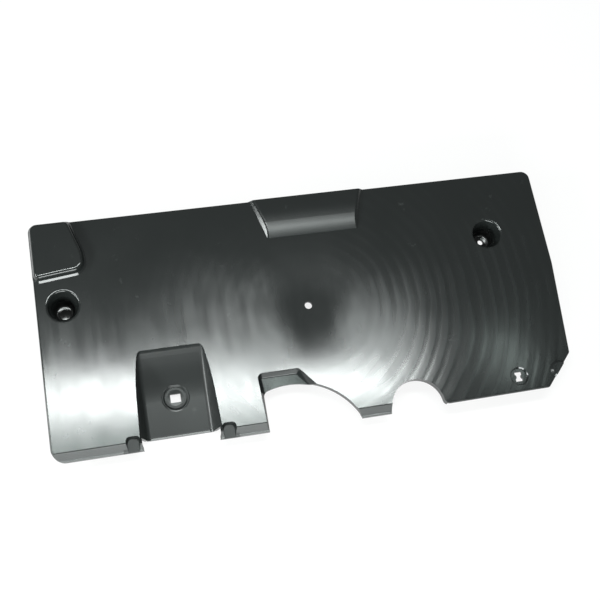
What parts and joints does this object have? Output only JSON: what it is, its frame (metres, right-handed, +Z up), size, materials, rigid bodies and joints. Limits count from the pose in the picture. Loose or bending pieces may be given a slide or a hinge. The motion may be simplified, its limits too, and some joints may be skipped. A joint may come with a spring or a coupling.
{
  "type": "underbody panel",
  "caption": "Black moulded plastic underbody panel: a flat tray with deep cups, a sloping fixing bay, a raised pad, a bulge and arched cut-outs.",
  "frame": {"origin": "under the middle of the panel, on the plane that the cups and the bay's front edge stand on", "axes": "+X along the panel's length, +Y from the fixing edge to the plain long edge, +Z up out of the face"},
  "size_m": [0.602, 0.272, 0.039],
  "materials": {
    "panel_plastic": "satin black moulded polypropylene"
  },
  "bodies": {
    "root": {"underbody_panel": "panel_plastic"}
  },
  "joints": []
}
